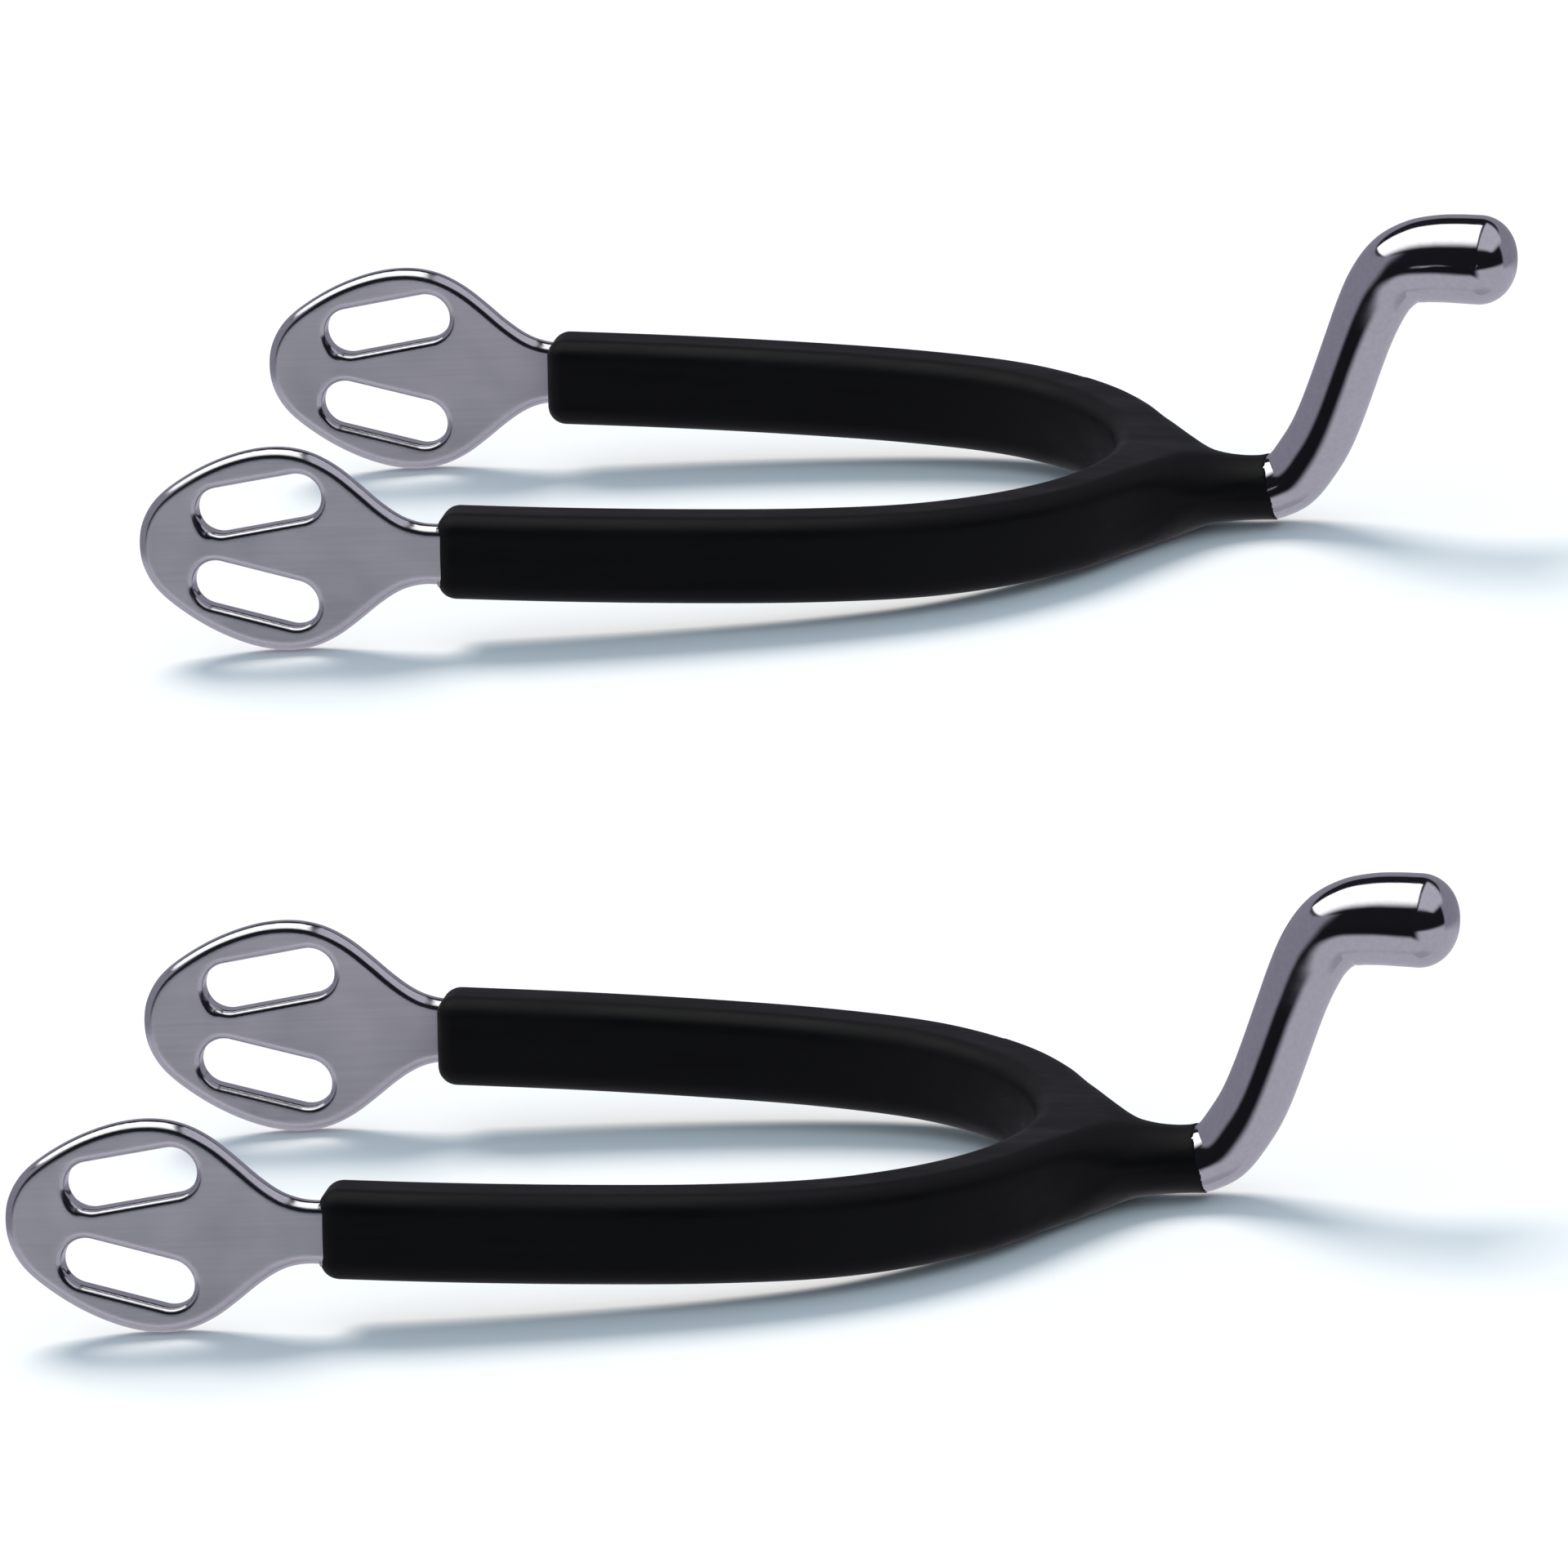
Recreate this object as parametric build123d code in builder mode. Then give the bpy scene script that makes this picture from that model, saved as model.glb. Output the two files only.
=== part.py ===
from build123d import *
from itertools import pairwise
import math
import os

# Pair of rubber-covered swan-neck spurs, in mm.
# One spur is modelled in its own frame and set down twice.
# Spur frame: +X runs back along the shank, +Y to the far branch, +Z up.
# Its origin is midway between the front ends of the branches, at mid height.

FAR, NEAR = 1, -1     # sides of the yoke, as the sign of Y
FIT = 0.03            # running gap between rubber and steel

# --- heel band: a flat U-shaped yoke ---
BAND_T = 3.0          # thickness
BAND_H = 7.6          # height
BRANCH = [            # x, y of the centre line, outward shift of the steel from it
    (0.0, 39.34, 1.72), (16.48, 39.03, 1.25), (32.96, 37.79, 0.70), (47.80, 35.64, 0.25),
    (60.98, 31.57, 0.0), (71.69, 23.94, 0.0), (79.11, 13.72, 0.0),
]
APEX_X = 82.4         # centre line at the back of the heel
FRONT_SLOPE = -0.012  # dy/dx of the far branch at its front end
YOKE_TANGENTS = [(1, FRONT_SLOPE), (-1, FRONT_SLOPE)]

# --- strap plate at the front of each branch ---
PLATE_Y = 41.06       # mid plane of the plate at X = 0
PLATE_Z = 0.15        # plate centre above the branch centre
PLATE_TOE = 0.89      # plates close in towards the front, degrees
PLATE_T = 3.0
PLATE_HALF = [        # x, z of the upper half outline, from the nose to the neck
    (-36.30, 0.0), (-35.85, 2.9), (-34.20, 5.75), (-31.10, 8.35), (-27.00, 10.75),
    (-22.40, 12.45), (-18.20, 13.00), (-14.60, 12.45), (-11.40, 10.90),
    (-8.60, 8.75), (-5.90, 6.45), (-3.20, 4.65), (0.60, 3.80),
]
FAR_NECK_X = -0.35    # the far plate's neck ends sooner, as its cover starts sooner
PLATE_TANGENTS = [(-1, 0.1), (1, 0.1)]
PLATE_RIM = [         # depth outward of the mid plane, inset of the outline
    (-PLATE_T / 2, 1.05), (-1.12, 0.38), (-0.6, 0.0),
    (0.6, 0.0), (1.12, 0.38), (PLATE_T / 2, 1.05),
]

# Tongue that carries the far plate into its branch
TONGUE_X0, TONGUE_L = -1.2, 1.8
TONGUE_T, TONGUE_H = 2.84, 7.45

# --- strap slots: two per plate, splayed towards the branch ---
SLOT_L = 16.0         # overall length
SLOT_W = 5.9          # width between flats
SLOT_X, SLOT_Z = -20.95, 5.85
SLOT_TILT = 12.4      # degrees
SLOTS = [             # x, z of the centre, tilt
    (SLOT_X, SLOT_Z, SLOT_TILT),
    (SLOT_X - 0.6, -SLOT_Z + 0.15, -SLOT_TILT),
]
SLOT_RIM = [          # depth outward of the mid plane, easing of the slot's edge
    (-1.6, 0.75), (-1.05, 0.15), (-0.6, 0.0), (0.6, 0.0), (1.05, 0.15), (1.6, 0.75),
]

# --- shank ---
SHANK = [             # x, z, radius, direction of the axis in degrees above +X
    (99.00, 0.35, 4.00, 13.0),
    (101.35, 1.45, 4.02, 36.0),
    (103.45, 3.95, 4.05, 61.0),
    (105.00, 7.20, 4.05, 68.5),
    (106.85, 11.60, 4.02, 69.5),
    (109.60, 19.20, 4.04, 69.0),
    (111.20, 23.20, 4.22, 66.0),
    (112.90, 26.45, 4.55, 56.0),
    (115.10, 28.85, 4.95, 34.0),
    (117.60, 29.95, 5.22, 15.0),
    (120.30, 30.35, 5.42, 4.0),
    (122.90, 30.40, 5.52, 0.0),
    (125.20, 30.35, 5.55, -1.0),
]
TIP_L = 4.75          # length of the domed end beyond the last section
ROOT_R = 2.95         # straight root inside the rubber neck
ROOT_X1 = SHANK[0][0]
ROOT_OVERLAP = 1.2    # reach of the root into the swept shank

# Boss at the back of the yoke, and the shank's spigot in it
BOSS_R = 3.8
BOSS_X0, BOSS_X1 = 81.2, 87.2
SPIGOT_R, SPIGOT_X0 = 2.5, 82.6
SPIGOT_OVERLAP = 0.5  # reach of the spigot into the root
BORE_GAP = 0.01       # radial gap round the spigot
BORE_END_GAP = 0.1
BORE_OVERRUN = 1.0    # past the open end of the boss

# --- rubber cover ---
COVER_W = 8.0
COVER_H = 11.0
COVER_EDGE = 2.4      # corner radius of the section
COVER_FRONT = {FAR: 1.3, NEAR: 2.8}   # x where the rounding of the front end starts
END_ROUND = [(0.0, 0.0), (0.75, 0.2), (1.25, 0.6), (1.5, 1.2)]   # distance forward, inset
END_CORNER_LOSS = 0.4                 # corner radius lost per mm of inset
NECK = [              # moulded neck round the shank's root, columns as SHANK
    (83.0, 0.0, 5.30, 0.0), (85.6, 0.0, 5.30, 0.0), (87.6, 0.0, 5.20, 0.0),
    (89.2, 0.0, 4.90, 0.0), (91.0, 0.0, 4.52, 0.0), (93.0, 0.0, 4.24, 0.5),
    (95.2, 0.05, 4.08, 3.0), (97.2, 0.17, 4.06, 7.0), (98.96, 0.40, 4.20, 13.0),
]
POCKET_X0, POCKET_L = -1.0, 2.2       # clearance in the cover for the plate's neck
POCKET_T = PLATE_T + 0.2
POCKET_H = BAND_H + 0.4
CUT_OVERLAP = 0.5     # the boss and root holes start this far early
ROOT_HOLE_OVERRUN = 3.0

# --- placement of the two spurs on the floor ---
REST_PITCH = 4.1258   # degrees; a spur stands on both plates and on the back of the yoke
REST_LIFT = 11.536    # height of the spur frame's origin above the floor
PAIR_Y = 146.075      # each spur's distance from the middle of the pair
PLACES = {
    "left": (-69.845, PAIR_Y, REST_LIFT),
    "right": (-25.825, -PAIR_Y, REST_LIFT),
}


def chord_normals(points):
    """Unit normals at the points, left of the chord between each point's neighbours."""
    last = len(points) - 1
    normals = []
    for i in range(len(points)):
        before, after = points[max(i - 1, 0)], points[min(i + 1, last)]
        run, rise = after[0] - before[0], after[1] - before[1]
        length = math.hypot(run, rise)
        normals.append((-rise / length, run / length))
    return normals


def yoke_points(shifts, far_x=0.0, near_x=0.0):
    """Points round the yoke, far front to near front, each moved outward by its shift."""
    line = [(x, y) for x, y, _ in BRANCH]
    normals = chord_normals(line)
    normals[0] = chord_normals([(0, 0), YOKE_TANGENTS[0]])[0]
    half = [
        (x + nx * shift, y + ny * shift)
        for (x, y), (nx, ny), shift in zip(line, normals, shifts)
    ]
    front_y = half[0][1]
    far = [(far_x, front_y)] + half[1:]
    near = [(x, -y) for x, y in reversed(half[1:])] + [(near_x, -front_y)]
    return far + [(APEX_X + shifts[-1], 0.0)] + near


def draw_band_outline(gap=0.0):
    """Draw the steel band's plan, grown by gap on both faces, in the active BuildLine."""
    half_t = BAND_T / 2 + gap
    outer = yoke_points([shift + half_t for _, _, shift in BRANCH])
    inner = yoke_points([shift - half_t for _, _, shift in BRANCH])
    Spline(*outer, tangents=YOKE_TANGENTS)
    Spline(*inner, tangents=YOKE_TANGENTS)
    Line(outer[0], inner[0])
    Line(outer[-1], inner[-1])


def plate_plane(side, depth):
    """Plane of a strap plate, depth mm outward of its mid plane. Its Y runs up the plate."""
    toe = math.radians(PLATE_TOE)
    sin_toe, cos_toe = math.sin(toe), math.cos(toe)
    return Plane(
        origin=(-sin_toe * depth, side * (PLATE_Y + cos_toe * depth), PLATE_Z),
        x_dir=(cos_toe, side * sin_toe, 0),
        z_dir=(side * sin_toe, -cos_toe, 0),
    )


def plate_outline(side, inset):
    """Plate outline from neck over the top to the nose and back below, drawn in by inset."""
    neck_x, neck_z = PLATE_HALF[-1]
    if side == FAR:
        neck_x = FAR_NECK_X
    half = PLATE_HALF[:-1] + [(neck_x, neck_z)]
    points = half[::-1] + [(x, -z) for x, z in half[1:]]
    normals = chord_normals(points)
    normals[0], normals[-1] = (0.0, -1.0), (0.0, 1.0)
    return [(x + nx * inset, z + nz * inset) for (x, z), (nx, nz) in zip(points, normals)]


def axis_direction(degrees):
    """Unit vector in the XZ plane, degrees above +X."""
    angle = math.radians(degrees)
    return (math.cos(angle), 0, math.sin(angle))


def section_plane(x, z, degrees):
    """Plane square to the shank's axis."""
    return Plane(origin=(x, 0, z), x_dir=(0, 1, 0), z_dir=axis_direction(degrees))


def make_heel_band():
    with BuildPart() as heel_band:
        with BuildSketch(Plane.XY):
            with BuildLine():
                draw_band_outline()
            make_face()
        extrude(amount=BAND_H / 2, both=True)

        for side in (FAR, NEAR):
            # stacked outlines give the plate's rim its rounding
            for layer in pairwise(PLATE_RIM):
                for depth, inset in layer:
                    with BuildSketch(plate_plane(side, depth)):
                        with BuildLine():
                            outline = plate_outline(side, inset)
                            Spline(*outline, tangents=PLATE_TANGENTS)
                            Line(outline[-1], outline[0])
                        make_face()
                loft(ruled=True)
            # strap slots, eased where they meet the faces
            for slot_x, slot_z, tilt in SLOTS:
                for layer in pairwise(SLOT_RIM):
                    for depth, easing in layer:
                        with BuildSketch(plate_plane(side, depth)):
                            with Locations((slot_x, slot_z)):
                                SlotOverall(
                                    SLOT_L + 2 * easing, SLOT_W + 2 * easing, rotation=tilt
                                )
                    loft(ruled=True, mode=Mode.SUBTRACT)

        # tongue
        with BuildSketch(Plane.YZ.offset(TONGUE_X0)):
            with Locations((PLATE_Y, PLATE_Z)):
                Rectangle(TONGUE_T, TONGUE_H)
        extrude(amount=TONGUE_L)

        # boss, bored for the shank's spigot
        with BuildSketch(Plane.YZ.offset(BOSS_X0)):
            Circle(BOSS_R)
        extrude(amount=BOSS_X1 - BOSS_X0)
        bore_x0 = SPIGOT_X0 - BORE_END_GAP
        with BuildSketch(Plane.YZ.offset(bore_x0)):
            Circle(SPIGOT_R + BORE_GAP)
        extrude(amount=BOSS_X1 + BORE_OVERRUN - bore_x0, mode=Mode.SUBTRACT)
    return heel_band.part


def make_shank():
    with BuildPart() as shank:
        for x, z, radius, degrees in SHANK:
            with BuildSketch(section_plane(x, z, degrees)):
                Circle(radius)
        loft()

        # domed end
        x, z, radius, degrees = SHANK[-1]
        tip_axis = axis_direction(degrees)
        with BuildSketch(Plane(origin=(x, 0, z), x_dir=tip_axis, z_dir=(0, -1, 0))):
            with BuildLine():
                Spline(
                    (0, radius),
                    (TIP_L * 0.52, radius * 0.925),
                    (TIP_L * 0.86, radius * 0.62),
                    (TIP_L, 0),
                    tangents=[(1, 0), (0, -1)],
                )
                Polyline((TIP_L, 0), (0, 0), (0, radius))
            make_face()
        revolve(axis=Axis((x, 0, z), tip_axis))

        # root inside the rubber neck, and the spigot in the boss
        with BuildSketch(Plane.YZ.offset(BOSS_X1)):
            Circle(ROOT_R)
        extrude(amount=ROOT_X1 + ROOT_OVERLAP - BOSS_X1)
        with BuildSketch(Plane.YZ.offset(SPIGOT_X0)):
            Circle(SPIGOT_R)
        extrude(amount=BOSS_X1 + SPIGOT_OVERLAP - SPIGOT_X0)
    return shank.part


def make_rubber_cover():
    with BuildPart() as rubber_cover:
        with BuildLine(Plane.XY) as yoke_path:
            path_points = yoke_points([0.0] * len(BRANCH), COVER_FRONT[FAR], COVER_FRONT[NEAR])
            Spline(*path_points, tangents=YOKE_TANGENTS)
        path = yoke_path.line
        with BuildSketch(Plane(origin=path @ 0, z_dir=path % 0, x_dir=(0, 0, 1))):
            RectangleRounded(COVER_H, COVER_W, COVER_EDGE)
        sweep(path=path)

        # rounded front ends; each step starts again from the full corner radius
        for side, front_x in COVER_FRONT.items():
            for (start, start_inset), (end, end_inset) in pairwise(END_ROUND):
                for distance, inset, corner in (
                    (start, start_inset, COVER_EDGE),
                    (end, end_inset, COVER_EDGE - END_CORNER_LOSS * end_inset),
                ):
                    origin = (front_x - distance, side * BRANCH[0][1], 0)
                    with BuildSketch(Plane(origin=origin, z_dir=(1, 0, 0), x_dir=(0, 0, 1))):
                        RectangleRounded(COVER_H - 2 * inset, COVER_W - 2 * inset, corner)
                loft(ruled=True)

        # moulded neck
        for x, z, radius, degrees in NECK:
            with BuildSketch(section_plane(x, z, degrees)):
                Circle(radius)
        loft()

        # channel for the steel
        with BuildSketch(Plane.XY):
            with BuildLine():
                draw_band_outline(FIT)
            make_face()
        extrude(amount=BAND_H / 2 + FIT, both=True, mode=Mode.SUBTRACT)
        for side in (FAR, NEAR):
            with BuildSketch(Plane.YZ.offset(POCKET_X0)):
                with Locations((side * PLATE_Y, PLATE_Z)):
                    Rectangle(POCKET_T, POCKET_H)
            extrude(amount=POCKET_L, mode=Mode.SUBTRACT)

        # holes for the boss and the shank's root
        for start_x, end_x, radius in (
            (BOSS_X0, BOSS_X1 + FIT, BOSS_R),
            (BOSS_X1, ROOT_X1 + ROOT_HOLE_OVERRUN - CUT_OVERLAP, ROOT_R),
        ):
            with BuildSketch(Plane.YZ.offset(start_x - CUT_OVERLAP)):
                Circle(radius + FIT)
            extrude(amount=end_x - start_x + CUT_OVERLAP, mode=Mode.SUBTRACT)
    return rubber_cover.part


pieces = {
    "heel_band": make_heel_band(),
    "shank": make_shank(),
    "rubber_cover": make_rubber_cover(),
}

os.makedirs("parts", exist_ok=True)
for spur, place in PLACES.items():
    for name, piece in pieces.items():
        with BuildPart() as placed:
            with Locations(Location(place, (0, REST_PITCH, 0))):
                add(piece)
        placed.part.label = f"{spur}_{name}"
        export_step(placed.part, f"parts/{spur}_{name}.step")
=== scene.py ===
import math

import bmesh
import bpy
import numpy as np
from mathutils import Matrix, Vector


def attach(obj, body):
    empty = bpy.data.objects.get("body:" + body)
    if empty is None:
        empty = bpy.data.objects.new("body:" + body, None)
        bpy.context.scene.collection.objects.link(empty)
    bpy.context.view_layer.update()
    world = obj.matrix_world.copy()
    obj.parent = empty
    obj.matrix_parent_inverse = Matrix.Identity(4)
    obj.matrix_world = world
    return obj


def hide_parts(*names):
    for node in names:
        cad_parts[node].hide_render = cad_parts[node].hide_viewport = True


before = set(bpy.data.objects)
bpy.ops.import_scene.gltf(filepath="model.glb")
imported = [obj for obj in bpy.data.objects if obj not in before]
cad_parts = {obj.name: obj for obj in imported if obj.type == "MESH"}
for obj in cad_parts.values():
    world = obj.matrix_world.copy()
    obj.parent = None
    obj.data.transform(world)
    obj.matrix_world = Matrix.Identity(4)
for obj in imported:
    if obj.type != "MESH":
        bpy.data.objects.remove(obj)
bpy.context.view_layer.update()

# ---------------------------------------------------------------------------
# Sizes (mm, in the spur frame)
# ---------------------------------------------------------------------------
PITCH = math.radians(4.1258)
LIFT = 11.536                   # height of the spur frame above the floor
SPACING = 146.075               # each spur's distance from the scene's XZ plane
SPUR_PLACES = {"left": (-69.845, SPACING, LIFT), "right": (-25.825, -SPACING, LIFT)}

# centre line of the far branch, front to back: x, y
BRANCH = [(-6.0, 39.42), (0.0, 39.34), (16.48, 39.03), (32.96, 37.79), (47.80, 35.64),
          (60.98, 31.57), (71.69, 23.94), (79.11, 13.72)]
APEX_X = 82.4                   # rearmost point of the centre line

# upper half of the plate outline, front to back: x, z
PLATE_HALF = [(-36.30, 0.0), (-35.85, 2.9), (-34.20, 5.75), (-31.10, 8.35), (-27.00, 10.75),
              (-22.40, 12.45), (-18.20, 13.00), (-14.60, 12.45), (-11.40, 10.90), (-8.60, 8.75),
              (-5.90, 6.45), (-3.20, 4.65), (-0.60, 3.86), (2.0, 3.80), (4.0, 3.80)]
PLATE_HALF_THICKNESS = 1.5
PLATE_EDGE_RADIUS = 1.32
PLATE_Y = 41.06                 # plate centre from the middle of the spur
PLATE_Z = 0.15
TOE_IN = math.radians(0.89)     # turn of each plate towards the middle at the front
SLOT_TILT = math.radians(12.4)
SLOTS = [(-20.95, 5.85, SLOT_TILT), (-21.55, -5.70, -SLOT_TILT)]    # centre x, centre z, tilt
SLOT_LENGTH = 16.0
SLOT_WIDTH = 5.9
SLOT_EDGE_RADIUS = 0.85

# shank stations, front to back: x, z, radius
SHANK = [(98.2, 0.18, 4.00), (99.00, 0.35, 4.00), (101.10, 1.50, 4.02), (103.10, 4.05, 4.05),
         (105.00, 7.20, 4.05), (106.85, 11.60, 4.02), (109.60, 19.20, 4.04),
         (111.20, 23.20, 4.20), (112.90, 26.45, 4.45), (115.10, 28.85, 4.86),
         (117.60, 29.95, 5.22), (120.30, 30.35, 5.42), (122.90, 30.40, 5.52),
         (125.20, 30.35, 5.55)]
SHANK_DOME = 4.7                # length of the rounded tip
SHANK_SEGMENTS = 112
# steel inside the cover: x, z, radius
SHANK_ROOT = [(82.7, 0, 2.5), (87.2, 0, 2.5), (87.25, 0, 2.95), (98.9, 0, 2.95)]
BOSS = [(81.2, 0, 3.7), (87.1, 0, 3.7)]
INNER_SEGMENTS = 48

# rubber neck stations, front to back: x, z, radius
NECK = [(81.0, 0.0, 5.25), (83.0, 0.0, 5.30), (85.6, 0.0, 5.30), (87.6, 0.0, 5.15),
        (89.2, 0.0, 4.85), (91.0, 0.0, 4.50), (93.0, 0.0, 4.22), (95.2, 0.05, 4.06),
        (97.2, 0.17, 4.04), (98.9, 0.39, 4.18)]
COVER_HALF_WIDTH = 4.0
COVER_HALF_HEIGHT = 5.5
COVER_CORNER = 2.3
COVER_FRONTS = (-0.2, 1.3)      # front end x on the far branch and on the near one

# steel strip inside the cover: section as outward offset, z
STRIP_SECTION = [(-1.5, -3.4), (-1.1, -3.8), (1.1, -3.8), (1.5, -3.4),
                 (1.5, 3.4), (1.1, 3.8), (-1.1, 3.8), (-1.5, 3.4)]
STRIP_FRONT = 0.8
STRIP_SHIFT_X = [0, 16.5, 33, 48, 61]           # stations of the outward shift below
STRIP_SHIFT = [1.6, 1.2, 0.7, 0.25, 0.0]


# ---------------------------------------------------------------------------
# Curves
# ---------------------------------------------------------------------------
def curve(stations, samples):
    """Smooth curve through the stations, with this many samples per span."""
    knots = np.array(stations, float)
    knots = np.vstack([2 * knots[0] - knots[1], knots, 2 * knots[-1] - knots[-2]])
    t = np.linspace(0, 1, samples, endpoint=False)[:, None]
    spans = []
    for before, start, end, after in zip(knots, knots[1:], knots[2:], knots[3:]):
        length = np.linalg.norm(end - start)
        length_before = np.linalg.norm(start - before)
        length_after = np.linalg.norm(after - end)
        slope_in = (end - before) * (length / max(1e-9, length + length_before))
        slope_out = (after - start) * (length / max(1e-9, length_after + length))
        spans.append((2 * t**3 - 3 * t**2 + 1) * start + (t**3 - 2 * t**2 + t) * slope_in
                     + (-2 * t**3 + 3 * t**2) * end + (t**3 - t**2) * slope_out)
    spans.append(knots[-2][None, :])
    return np.vstack(spans)


def smooth_line(points, rounds):
    """Average each point with its neighbours; the ends stay."""
    line = np.array(points, float)
    for _ in range(rounds):
        line[1:-1] = 0.25 * line[:-2] + 0.5 * line[1:-1] + 0.25 * line[2:]
    return line


def unit_tangents(line):
    tangents = np.gradient(line, axis=0)
    return tangents / np.linalg.norm(tangents, axis=1)[:, None]


def close_loop(line):
    return np.vstack([line, line[:1]])


YOKE = smooth_line(
    curve(BRANCH + [(APEX_X, 0.0)] + [(x, -y) for x, y in reversed(BRANCH)], 14), 6)
OUTLINE = smooth_line(curve(PLATE_HALF[::-1] + [(x, -z) for x, z in PLATE_HALF[1:]], 10), 8)
NECK_CURVE = curve(NECK, 10)


# ---------------------------------------------------------------------------
# Distance fields (negative inside the solid)
# ---------------------------------------------------------------------------
def in_chunks(measure, x, y, size=20000):
    """Run measure on columns of at most size points, to limit memory."""
    flat_x, flat_y = x.ravel(), y.ravel()
    parts = [measure(flat_x[i:i + size, None], flat_y[i:i + size, None])
             for i in range(0, x.size, size)]
    return np.concatenate(parts).reshape(x.shape)


def line_distance(x, y, line):
    """Distance from points to an open polyline."""
    start = line[:-1]
    along = line[1:] - start
    length_squared = np.maximum((along**2).sum(1), 1e-12)

    def measure(x, y):
        t = ((x - start[:, 0]) * along[:, 0] + (y - start[:, 1]) * along[:, 1]) / length_squared
        t = np.clip(t, 0, 1)
        gap_x = x - start[:, 0] - t * along[:, 0]
        gap_y = y - start[:, 1] - t * along[:, 1]
        return np.sqrt((gap_x * gap_x + gap_y * gap_y).min(1))

    return in_chunks(measure, x, y)


def is_inside(x, y, polygon):
    """Whether points lie inside a polygon, by counting edge crossings."""
    loop = close_loop(polygon)
    (start_x, start_y), (end_x, end_y) = loop[:-1].T, loop[1:].T
    rise = np.where(end_y == start_y, 1e-12, end_y - start_y)

    def measure(x, y):
        spans_y = (start_y > y) != (end_y > y)
        cross_x = start_x + (y - start_y) * (end_x - start_x) / rise
        return ((spans_y & (x < cross_x)).sum(1) % 2) == 1

    return in_chunks(measure, x, y)


def rounded(first, second, radius):
    """Intersection of two fields with a rounded edge."""
    first, second = first + radius, second + radius
    return (np.hypot(np.maximum(first, 0), np.maximum(second, 0))
            + np.minimum(np.maximum(first, second), 0) - radius)


def smooth_min(first, second, blend):
    """Union of two fields with a blended join."""
    share = np.clip(0.5 + 0.5 * (second - first) / blend, 0, 1)
    return second * (1 - share) + first * share - blend * share * (1 - share)


def ramp(low, high, value):
    """Smooth rise from 0 at low to 1 at high."""
    t = np.clip((value - low) / (high - low), 0, 1)
    return t * t * (3 - 2 * t)


def plate_profile(x, z):
    """Signed distances to the outline and to the slots, in the plane of the plate."""
    outline = line_distance(x, z, close_loop(OUTLINE))
    outline = np.where(is_inside(x, z, OUTLINE), -outline, outline)
    slots = np.full(x.shape, -1e9)
    for slot_x, slot_z, tilt in SLOTS:
        cosine, sine = math.cos(tilt), math.sin(tilt)
        along = (x - slot_x) * cosine + (z - slot_z) * sine
        across = -(x - slot_x) * sine + (z - slot_z) * cosine
        past_straight = np.maximum(np.abs(along) - (SLOT_LENGTH - SLOT_WIDTH) / 2, 0)
        slots = np.maximum(slots, -(np.hypot(past_straight, across) - SLOT_WIDTH / 2))
    return outline, slots


def plate_field(outline, slots, x, y, z):
    """One slotted plate lying in XZ, its thickness along Y."""
    faces = np.abs(y) - PLATE_HALF_THICKNESS
    plate = np.maximum(rounded(outline, faces, PLATE_EDGE_RADIUS),
                       rounded(slots, faces, SLOT_EDGE_RADIUS))
    # small nick in both faces, by the front end of the upper slot's lower wall
    nick_x, nick_z, nick_y, nick_radius = -27.9, 2.75, 1.75, 0.72
    side, rise = x - nick_x, z - nick_z
    nick = np.sqrt((side * 0.8 + rise * 0.4) ** 2 + (rise * 0.8 - side * 0.4) ** 2 * 0.35
                   + (np.abs(y) - nick_y) ** 2) - nick_radius
    return -smooth_min(-plate, nick, 0.35)


def cover_profile(x, y):
    """Distance to the yoke line, and 1 outside the yoke loop or 0 inside it."""
    return line_distance(x, y, YOKE), np.where(is_inside(x, y, YOKE), 0.0, 1.0)


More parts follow.
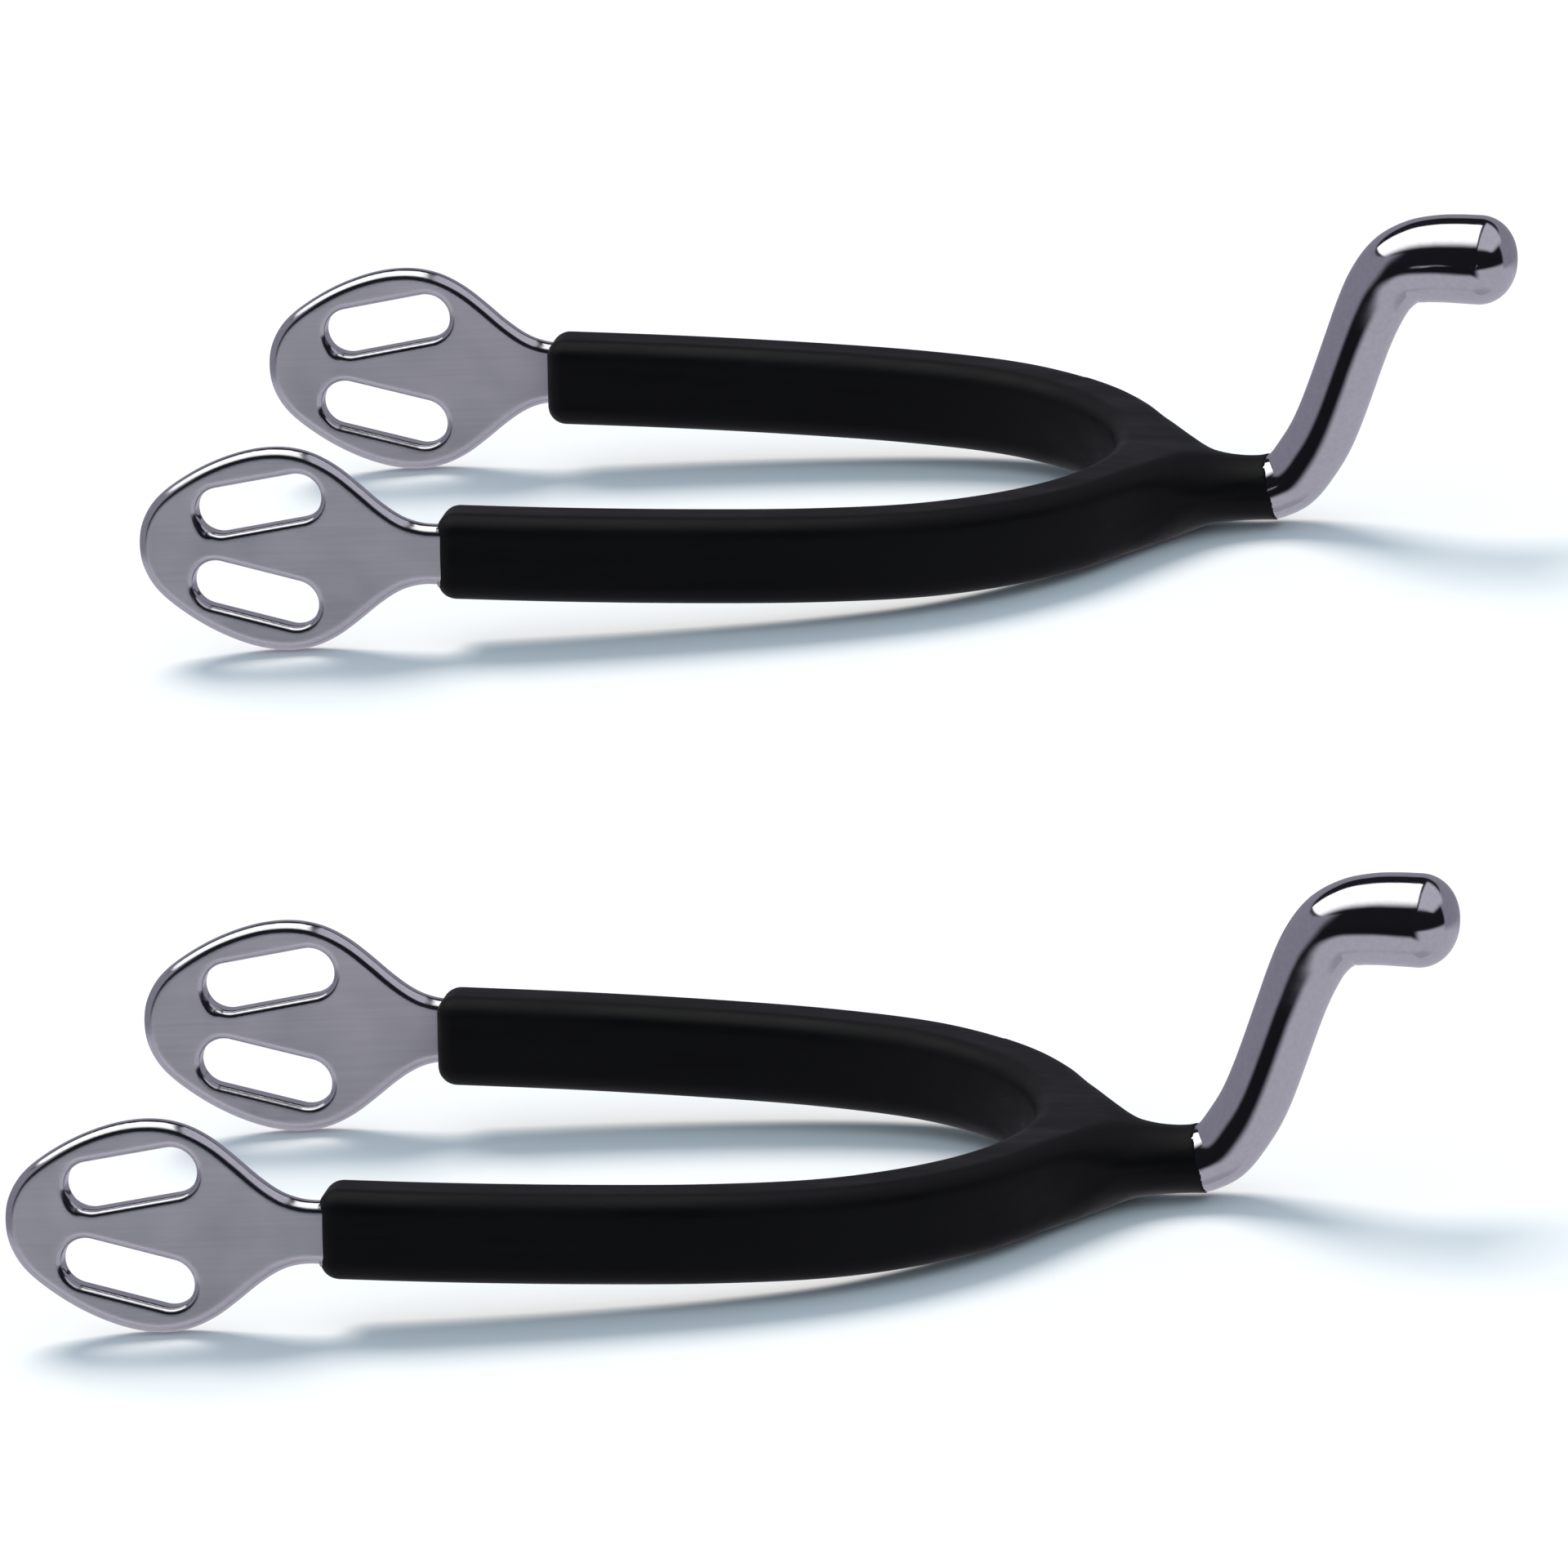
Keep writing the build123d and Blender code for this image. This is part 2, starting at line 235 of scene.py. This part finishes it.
def cover_field(yoke_distance, outside, x, y, z):
    """Rubber round both branches, turning into a round neck at the back."""
    neck_z = np.interp(x, NECK_CURVE[:, 0], NECK_CURVE[:, 1])
    neck_radius = np.interp(x, NECK_CURVE[:, 0], NECK_CURVE[:, 2])
    roundness = ramp(83.5, 91.5, x)         # 0 along the branches, 1 on the round neck
    half_height = COVER_HALF_HEIGHT * (1 - roundness) + neck_radius * roundness
    corner = COVER_CORNER * (1 - roundness) + (neck_radius - 0.001) * roundness
    # the branches get slightly lower towards the back
    half_height = half_height - 0.09 * ramp(60.0, 80.0, x) * (1 - roundness)
    # slightly crowned sides
    branches = yoke_distance - (COVER_HALF_WIDTH - 0.12 * (z / COVER_HALF_HEIGHT) ** 2)
    neck = np.maximum(np.abs(y) - neck_radius, 80.5 - x)
    # a wide blend outside the loop, a sharp join inside it
    sides = smooth_min(branches, neck, 0.02 + 12.5 * outside)
    # low raised step on the upper outside of the far branch
    sides = (sides - 0.16 * ramp(69.6, 70.2, x) * (1 - ramp(74.0, 79.0, x)) * (y > 0)
             * outside * ramp(0.5, 3.0, z))

    over_side = sides + corner
    over_height = np.abs(z - neck_z) - half_height + corner
    over_front = (np.where(y > 0, *COVER_FRONTS) - x) + COVER_CORNER
    has_front = x < 20                      # only here does the front end bound the solid
    reach = np.sqrt(np.maximum(over_side, 0) ** 2 + np.maximum(over_height, 0) ** 2
                    + np.where(has_front, np.maximum(over_front, 0), 0) ** 2)
    depth = np.maximum(np.maximum(over_side, over_height),
                       np.where(has_front, over_front, -1e3))
    field = reach + np.minimum(depth, 0) - corner

    # parting line along the neck
    field = field + 0.09 * np.exp(-((z - neck_z) / 0.22) ** 2) * ramp(88, 91, x)
    # tilted, slightly wavy end face behind a small swelling of the upper side
    tilt = math.radians(11)
    around = np.arctan2(z - neck_z, y)
    end = ((x - 98.93) * math.cos(tilt) + (z - 0.39) * math.sin(tilt)
           + 0.11 * np.sin(around * 3.0 + 0.6) + 0.06 * np.sin(around * 7.0))
    field = field - 0.16 * ramp(97.2, 98.9, x) * ramp(-1.0, 3.5, z)
    return np.where(x > 90, rounded(field, end, 0.3), field)


# ---------------------------------------------------------------------------
# Meshing: each builder gives (vertices, faces)
# ---------------------------------------------------------------------------
def surface_net(field, origin, cell_size):
    """Quads on the zero surface of a field sampled on a grid."""
    solid = field < 0
    count_x, count_y, count_z = (size - 1 for size in field.shape)
    corners = [(i, j, k) for i in (0, 1) for j in (0, 1) for k in (0, 1)]
    solid_corners = np.zeros((count_x, count_y, count_z), int)
    for i, j, k in corners:
        solid_corners += solid[i:count_x + i, j:count_y + j, k:count_z + k]
    active = (solid_corners > 0) & (solid_corners < 8)
    cells = np.argwhere(active)
    vertex_ids = -np.ones(active.shape, int)
    vertex_ids[tuple(cells.T)] = np.arange(len(cells))

    # one vertex per cell, at the mean of the crossings on its edges
    total = np.zeros((len(cells), 3))
    crossings = np.zeros(len(cells))
    for corner in corners:
        for axis in range(3):
            if corner[axis]:
                continue
            opposite = list(corner)
            opposite[axis] = 1
            start = field[tuple((cells + corner).T)]
            end = field[tuple((cells + opposite).T)]
            crossed = (start < 0) != (end < 0)
            position = np.tile(np.array(corner, float), (len(cells), 1))
            position[:, axis] += np.where(
                crossed, start / np.where(start == end, 1, start - end), 0)
            total[crossed] += position[crossed]
            crossings[crossed] += 1
    vertices = (cells + total / crossings[:, None]) * cell_size + origin

    # one quad round each grid edge that crosses the surface
    quads = []
    for axis in range(3):
        near = tuple(slice(0, size - 1) if i == axis else slice(1, size - 1)
                     for i, size in enumerate(field.shape))
        far = tuple(slice(1, size) if i == axis else slice(1, size - 1)
                    for i, size in enumerate(field.shape))
        edges = np.argwhere(solid[near] != solid[far])
        starts_inside = solid[near][tuple(edges.T)]
        base = edges + (np.arange(3) != axis)
        others = [i for i in range(3) if i != axis]
        ring = []
        for back in ((1, 1), (0, 1), (0, 0), (1, 0)):
            cell = base.copy()
            cell[:, others] -= back
            ring.append(vertex_ids[tuple(cell.T)])
        quad = np.stack(ring, 1)
        reverse = starts_inside == (axis == 1)
        quad[reverse] = quad[reverse][:, ::-1]
        quads.append(quad)
    return vertices, np.vstack(quads)


def project(vertices, field_at, rounds=3, probe=0.02, longest_move=0.15):
    """Pull vertices onto the zero surface along the gradient."""
    for _ in range(rounds):
        gradient = np.stack([field_at(vertices + offset) - field_at(vertices - offset)
                             for offset in np.eye(3) * probe], 1) / (2 * probe)
        slope_squared = np.maximum((gradient**2).sum(1), 0.25)
        move = (field_at(vertices) / slope_squared)[:, None] * gradient
        length = np.linalg.norm(move, axis=1, keepdims=True)
        vertices = vertices - move * np.minimum(1, longest_move / np.maximum(length, 1e-9))
    return vertices


def field_mesh(low, high, cell_size, plane, profile, solid_field):
    """Mesh a field; its slow 2D profile is sampled once across the two plane axes."""
    axes = [np.arange(start, end + cell_size, cell_size) for start, end in zip(low, high)]
    x, y, z = np.meshgrid(*axes, indexing="ij")
    flat = profile(*np.meshgrid(*[axes[i] for i in plane], indexing="ij"))
    depth_axis = 3 - sum(plane)
    layers = [np.expand_dims(layer, depth_axis) * np.ones(x.shape) for layer in flat]
    vertices, quads = surface_net(solid_field(*layers, x, y, z), np.array(low), cell_size)

    def field_at(points):
        return solid_field(*profile(*[points[:, i] for i in plane]), *points.T)

    return project(vertices, field_at), quads


def tube(stations, segments, dome=0.0):
    """Round bar through x, z, radius stations, with a flat or domed far end."""
    stations = np.array(stations)
    tangents = unit_tangents(stations[:, :2])
    angle = np.linspace(0, 2 * math.pi, segments, endpoint=False)

    def ring(x, z, radius, along_x, along_z):
        return np.stack([x - along_z * radius * np.cos(angle), radius * np.sin(angle),
                         z + along_x * radius * np.cos(angle)], 1)

    rings = [ring(*station, *tangent) for station, tangent in zip(stations, tangents)]
    x, z, radius = stations[-1]
    along_x, along_z = tangents[-1]
    if dome:
        for share in np.linspace(0, 1, 26)[1:-1]:
            turn = share * math.pi / 2
            reach = dome * math.sin(turn)
            # the power makes it slightly fuller than an ellipse
            rings.append(ring(x + along_x * reach, z + along_z * reach,
                              radius * math.cos(turn) ** 0.92, along_x, along_z))
    faces = []
    for first in range(0, (len(rings) - 1) * segments, segments):
        for i in range(segments):
            here, following = first + i, first + (i + 1) % segments
            faces.append([here, following, following + segments, here + segments])
    faces.append(list(reversed(range(segments))))
    last = (len(rings) - 1) * segments
    if dome:
        rings.append([[x + along_x * dome, 0, z + along_z * dome]])
        faces += [[last + i, last + (i + 1) % segments, last + segments]
                  for i in range(segments)]
    else:
        faces.append([last + i for i in range(segments)])
    return np.vstack(rings), faces


def strip_mesh():
    """The flat steel band inside the cover, with chamfered corners."""
    line = YOKE[YOKE[:, 0] > STRIP_FRONT]
    shifts = np.interp(line[:, 0], STRIP_SHIFT_X, STRIP_SHIFT)
    vertices = []
    for (x, y), (along_x, along_y), shift in zip(line, unit_tangents(line), shifts):
        for offset, z in STRIP_SECTION:
            vertices.append((x - along_y * (shift + offset), y + along_x * (shift + offset), z))
    size = len(STRIP_SECTION)
    faces = []
    for first in range(0, len(vertices) - size, size):
        for i in range(size):
            here, following = first + i, first + (i + 1) % size
            faces.append([here, here + size, following + size, following])
    faces.append(list(range(size)))
    faces.append([len(vertices) - size + i for i in reversed(range(size))])
    return np.array(vertices), faces


def place_plate(vertices, side):
    """Set plate vertices on the far (side 1) or near (side -1) branch."""
    x, depth, z = vertices.T
    sine, cosine = math.sin(TOE_IN), math.cos(TOE_IN)
    return np.stack([-sine * depth + cosine * x,
                     side * PLATE_Y + side * cosine * depth + side * sine * x,
                     PLATE_Z + z], 1)


def add_object(name, parts, place):
    """Join the parts, pitch and place them, and add them to the scene in metres."""
    vertices = np.vstack([part_vertices for part_vertices, _ in parts])
    faces, offset = [], 0
    for part_vertices, part_faces in parts:
        faces += [[int(i) + offset for i in face] for face in part_faces]
        offset += len(part_vertices)
    sine, cosine = math.sin(PITCH), math.cos(PITCH)
    pitch_matrix = np.array([[cosine, 0, sine], [0, 1, 0], [-sine, 0, cosine]])
    vertices = (vertices @ pitch_matrix.T + np.array(place)) / 1000.0
    mesh = bpy.data.meshes.new(name)
    mesh.from_pydata(vertices.tolist(), [], faces)
    mesh.update()
    for polygon in mesh.polygons:
        polygon.use_smooth = True
    editable = bmesh.new()
    editable.from_mesh(mesh)
    bmesh.ops.recalc_face_normals(editable, faces=editable.faces)
    editable.to_mesh(mesh)
    editable.free()
    obj = bpy.data.objects.new(name, mesh)
    bpy.context.scene.collection.objects.link(obj)
    return obj


# ---------------------------------------------------------------------------
# Materials
# ---------------------------------------------------------------------------
class Nodes:
    """Builds one shader tree. An input given as a socket is linked, any other is set."""

    def __init__(self, tree):
        self.tree = tree

    def feed(self, node, inputs):
        for key, value in inputs.items():
            if isinstance(value, bpy.types.NodeSocket):
                self.tree.links.new(value, node.inputs[key])
            else:
                node.inputs[key].default_value = value

    def add(self, kind, inputs=None, **settings):
        node = self.tree.nodes.new("ShaderNode" + kind)
        for key, value in settings.items():
            setattr(node, key, value)
        self.feed(node, inputs or {})
        return node

    def math(self, operation, *values):
        return self.add("Math", dict(enumerate(values)), operation=operation).outputs[0]

    def mix(self, factor, first, second):
        """Mix two colours, each a socket or an RGB tuple."""
        first, second = [(*color, 1) if isinstance(color, tuple) else color
                         for color in (first, second)]
        return self.add("Mix", {0: factor, 6: first, 7: second}, data_type="RGBA").outputs[2]

    def remap(self, value, source, target=(0.0, 1.0), **settings):
        return self.add("MapRange", {
            "Value": value, "From Min": source[0], "From Max": source[1],
            "To Min": target[0], "To Max": target[1]}, **settings).outputs["Result"]

    def noise(self, vector, scale, detail, roughness=0.5):
        return self.add("TexNoise", {"Vector": vector, "Scale": scale, "Detail": detail,
                                     "Roughness": roughness}).outputs["Fac"]

    def stretch(self, vector, scale):
        return self.add("Mapping", {"Vector": vector, "Scale": scale}).outputs["Vector"]

    def bump(self, height, strength, distance):
        return self.add("Bump", {"Height": height, "Strength": strength, "Distance": distance})


def new_material(name):
    material = bpy.data.materials.new(name)
    material.use_nodes = True
    nodes = Nodes(material.node_tree)
    return material, nodes, nodes.tree.nodes["Principled BSDF"]


STEEL_COLOR = (0.60, 0.585, 0.65)
NOISE_RANGE = (0.3, 0.7)        # the part of a noise's output that is spread over a range


def steel(name, roughness, streak, side_satin_and_sheen_color=None, side_roughness=None):
    """Polished steel; a side colour gives faces square to Y a satin finish and a lighter base
    colour, which is partly a painted sheen.
    """
    material, nodes, shader = new_material(name)
    coords = nodes.add("TexCoord").outputs
    position = coords["Object"]
    grain = nodes.noise(nodes.stretch(position, (70, 70, 2400)), scale=1.0, detail=6.0)
    cloud = nodes.noise(position, scale=150.0, detail=4.0)
    speck = nodes.noise(position, scale=1500.0, detail=2.0)

    def tint(color, factor):
        return nodes.mix(factor, tuple(value * 0.90 for value in color),
                         tuple(min(1, value * 1.09) for value in color))

    surface = {"Roughness": nodes.remap(cloud, NOISE_RANGE, (roughness * 0.8, roughness * 1.3)),
               "Base Color": tint(STEEL_COLOR, speck)}
    grain_bump = nodes.bump(grain, strength=streak, distance=0.00002)
    if side_satin_and_sheen_color:
        normal_y = nodes.add("SeparateXYZ", {0: coords["Normal"]}).outputs["Y"]
        is_side = nodes.remap(nodes.math("ABSOLUTE", normal_y), (0.965, 0.996))
        satin = nodes.remap(cloud, NOISE_RANGE, (side_roughness * 0.88, side_roughness * 1.12))
        surface["Roughness"] = nodes.add(
            "Mix", {0: is_side, 2: surface["Roughness"], 3: satin}, data_type="FLOAT").outputs[0]
        # faces square to Y get a lighter colour: partly the satin finish, partly a painted sheen
        surface["Base Color"] = nodes.mix(is_side, surface["Base Color"],
                                          tint(side_satin_and_sheen_color, grain))
        surface["Metallic"] = nodes.remap(is_side, (0.0, 1.0), (1.0, 0.80))
        strength = nodes.remap(is_side, (0.0, 1.0), (0.04, streak))
        nodes.feed(grain_bump, {"Strength": strength})
    else:
        surface["Metallic"] = 1.0
    wave = nodes.noise(position, scale=210.0, detail=1.0)
    wave_bump = nodes.bump(wave, strength=0.3, distance=0.00010)
    nodes.feed(wave_bump, {"Normal": grain_bump.outputs["Normal"]})
    nodes.feed(shader, {**surface, "Normal": wave_bump.outputs["Normal"]})
    return material


def rubber(name):
    """Near-black rubber with a fine grain and long soft smears."""
    material, nodes, shader = new_material(name)
    position = nodes.add("TexCoord").outputs["Object"]
    fine = nodes.noise(position, scale=5200.0, detail=3.0)
    smear = nodes.noise(nodes.stretch(position, (45, 200, 420)),
                        scale=1.0, detail=5.0, roughness=0.6)
    fine_bump = nodes.bump(fine, strength=0.25, distance=0.00003)
    smear_bump = nodes.bump(smear, strength=0.3, distance=0.00012)
    nodes.feed(smear_bump, {"Normal": fine_bump.outputs["Normal"]})
    nodes.feed(shader, {
        "Roughness": nodes.remap(smear, NOISE_RANGE, (0.40, 0.60)),
        "Base Color": nodes.mix(smear, (0.0018, 0.0017, 0.0022), (0.0044, 0.0041, 0.0056)),
        "Normal": smear_bump.outputs["Normal"],
        "Specular IOR Level": 0.15})
    return material


# ---------------------------------------------------------------------------
# Pieces: the meshes are made once and set down for each spur
# ---------------------------------------------------------------------------
plate, plate_quads = field_mesh((-37.6, -2.3, -14.2), (5.4, 2.3, 14.2), 0.26,
                                (0, 2), plate_profile, plate_field)
cover = field_mesh((-1.6, -45.2, -7.2), (101.0, 45.2, 7.2), 0.45,
                   (0, 1), cover_profile, cover_field)
shank = tube(smooth_line(curve(SHANK, 12), 5), SHANK_SEGMENTS, dome=SHANK_DOME)
band_parts = [(place_plate(plate, 1), plate_quads), (place_plate(plate, -1), plate_quads),
              strip_mesh(), tube(BOSS, INNER_SEGMENTS)]

# piece, slot, material, parts
PIECES = [
    ("heel_band", "steel_band",
     steel("steel_band", roughness=0.13, streak=0.30,
           # lighter colour of the flat faces: satin finish plus painted sheen
           side_satin_and_sheen_color=(0.92, 0.86, 0.93), side_roughness=0.36), band_parts),
    ("shank", "steel_shank", steel("steel_shank", roughness=0.075, streak=0.04),
     [shank, tube(SHANK_ROOT, INNER_SEGMENTS)]),
    ("rubber_cover", "black_rubber", rubber("black_rubber"), [cover]),
]
for spur, place in SPUR_PLACES.items():
    for piece, slot, material, parts in PIECES:
        obj = add_object(f"{spur}_{piece}_vis", parts, place)
        obj.data.materials.append(material)
        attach(obj, f"{spur}_spur")
        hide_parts(f"{spur}_{piece}")

# ---------------------------------------------------------------------------
# Surroundings, floor, light, camera
# ---------------------------------------------------------------------------
FLOOR_TONE = (0.55, 0.545, 0.59)
DEGREES = 57.2958               # per radian


def build_surround():
    """Colour that glossy rays see, by direction: pale below, dark in front, softbox above."""
    tree = bpy.data.node_groups.new("surround", "ShaderNodeTree")
    tree.interface.new_socket("Direction", in_out="INPUT", socket_type="NodeSocketVector")
    tree.interface.new_socket("Color", in_out="OUTPUT", socket_type="NodeSocketColor")
    nodes = Nodes(tree)
    mix = nodes.mix
    group_input = tree.nodes.new("NodeGroupInput")
    group_output = tree.nodes.new("NodeGroupOutput")

    def times(first, second):
        return nodes.math("MULTIPLY", first, second)

    def soft(value, low, high):
        return nodes.remap(value, (low, high), interpolation_type="SMOOTHSTEP")

    def between(value, rise, fall):
        return times(soft(value, *rise), soft(times(value, -1.0), -fall[1], -fall[0]))

    unit = nodes.add("VectorMath", {0: group_input.outputs[0]}, operation="NORMALIZE")
    x, y, z = nodes.add("SeparateXYZ", {0: unit.outputs[0]}).outputs
    # azimuth is 0 towards -Y, the camera's side, and grows towards +X
    elevation = times(nodes.math("ARCSINE", z), DEGREES)
    azimuth = times(nodes.math("ARCTAN2", x, times(y, -1.0)), DEGREES)
    # height above the slanted lower edge of the dark front
    slanted = nodes.math("ADD", elevation, times(nodes.math("ADD", azimuth, 17.0), 0.45))

    dark = mix(soft(elevation, 52.0, 66.0), (0.010, 0.010, 0.013), (0.09, 0.09, 0.10))
    front = mix(soft(slanted, -31.0, -18.0), FLOOR_TONE, dark)
    front = mix(soft(azimuth, -6.0, 18.0), front,
                mix(soft(elevation, -16.0, -8.0), FLOOR_TONE, dark))
    under = mix(soft(times(elevation, -1.0), 58.0, 75.0), FLOOR_TONE, (0.42, 0.415, 0.45))
    front = mix(soft(times(elevation, -1.0), 48.0, 60.0), front, under)
    side = mix(soft(elevation, -24.0, -14.0), FLOOR_TONE, (0.30, 0.29, 0.34))
    side = mix(soft(elevation, 30.0, 34.0), side, (0.015, 0.015, 0.02))
    color = mix(soft(azimuth, -52.0, -37.0), side, front)
    color = mix(soft(nodes.math("ABSOLUTE", azimuth), 92.0, 100.0), color, side)

    # soft-edged rectangles on a plane overhead, at unit height
    height = nodes.math("MAXIMUM", z, 0.05)
    plane_x = nodes.math("DIVIDE", x, height)
    plane_y = nodes.math("DIVIDE", y, height)
    softbox = times(times(between(plane_x, rise=(-1.42, -1.36), fall=(0.14, 0.18)),
                          between(plane_y, rise=(-1.05, -0.38), fall=(0.50, 0.55))),
                    soft(z, 0.08, 0.12))
    # pale wall on the +X side of the softbox
    wall = times(times(between(plane_x, rise=(0.22, 0.30), fall=(1.6, 2.8)),
                       between(plane_y, rise=(-1.35, -0.85), fall=(0.7, 1.1))),
                 soft(z, 0.25, 0.35))
    color = mix(wall, color, (0.62, 0.61, 0.66))
    color = mix(softbox, color, (1.75, 1.77, 1.68))
    nodes.feed(group_output, {0: color})
    return tree


def add_floor(surround):
    """Matt floor that glossy rays see as the surroundings: to them it glows with a painted
    reflection.
    """
    bpy.ops.mesh.primitive_plane_add(size=60, location=(0, 0, -0.0001))
    floor = bpy.context.object
    floor.name = "floor"
    material, nodes, shader = new_material("floor")
    nodes.feed(shader, {"Base Color": (0.86, 0.86, 0.86, 1), "Roughness": 0.9,
                        "Specular IOR Level": 0.0})
    incoming = nodes.add("NewGeometry").outputs["Incoming"]
    outward = nodes.add("VectorMath", {0: incoming, "Scale": -1.0}, operation="SCALE")
    seen = nodes.add("Group", {0: outward.outputs[0]}, node_tree=surround)
    # painted reflection: for glossy rays only, the floor glows with the surroundings' colours
    emission = nodes.add("Emission", {"Color": seen.outputs[0]})
    is_glossy = nodes.add("LightPath").outputs["Is Glossy Ray"]
    shared = nodes.add("MixShader", {0: is_glossy, 1: shader.outputs[0], 2: emission.outputs[0]})
    nodes.feed(nodes.tree.nodes["Material Output"], {"Surface": shared.outputs[0]})
    floor.data.materials.append(material)


def add_world(surround):
    """White to the camera, the surroundings to glossy rays, a cool fill to the rest."""
    world = bpy.data.worlds.new("studio")
    scene.world = world
    world.use_nodes = True
    nodes = Nodes(world.node_tree)
    rays = nodes.add("LightPath").outputs
    direction = nodes.add("TexCoord").outputs["Generated"]
    seen = nodes.add("Group", {0: direction}, node_tree=surround).outputs[0]
    light = nodes.mix(rays["Is Glossy Ray"], (0.54, 0.66, 0.76), seen)
    color = nodes.mix(rays["Is Camera Ray"], light, (1, 1, 1))
    nodes.feed(nodes.tree.nodes["Background"], {"Color": color, "Strength": 1.0})


def add_key():
    """Sun from behind and the left, so the shadow falls forward and to the right."""
    light = bpy.data.lights.new("key", "SUN")
    light.energy = 2.7
    light.color = (1.0, 0.93, 0.86)
    light.angle = math.radians(28)
    key = bpy.data.objects.new("key", light)
    key.rotation_mode = "QUATERNION"
    key.rotation_quaternion = Vector((0.34, -0.60, -0.80)).to_track_quat("-Z", "Y")
    key.visible_glossy = False
    scene.collection.objects.link(key)


def add_camera():
    """Long lens on the near side (-Y), looking slightly down."""
    lens = bpy.data.cameras.new("camera")
    lens.lens = 1000.0
    lens.sensor_width = 36.0
    lens.clip_start = 0.1
    lens.clip_end = 60.0
    right = Vector((0.97814, 0.1868, -0.09141)).normalized()
    forward = Vector((-0.20487, 0.9411, -0.269)).normalized()
    up = right.cross(forward).normalized()
    right = forward.cross(up).normalized()
    position = (1.073855, -4.9552, 1.42685)
    camera = bpy.data.objects.new("camera", lens)
    camera.matrix_world = Matrix((*zip(right, up, -forward, position), (0, 0, 0, 1)))
    scene.collection.objects.link(camera)
    scene.camera = camera


scene = bpy.context.scene
surround = build_surround()
add_floor(surround)
add_world(surround)
add_key()
add_camera()
scene.view_settings.view_transform = "Standard"
scene.view_settings.look = "None"
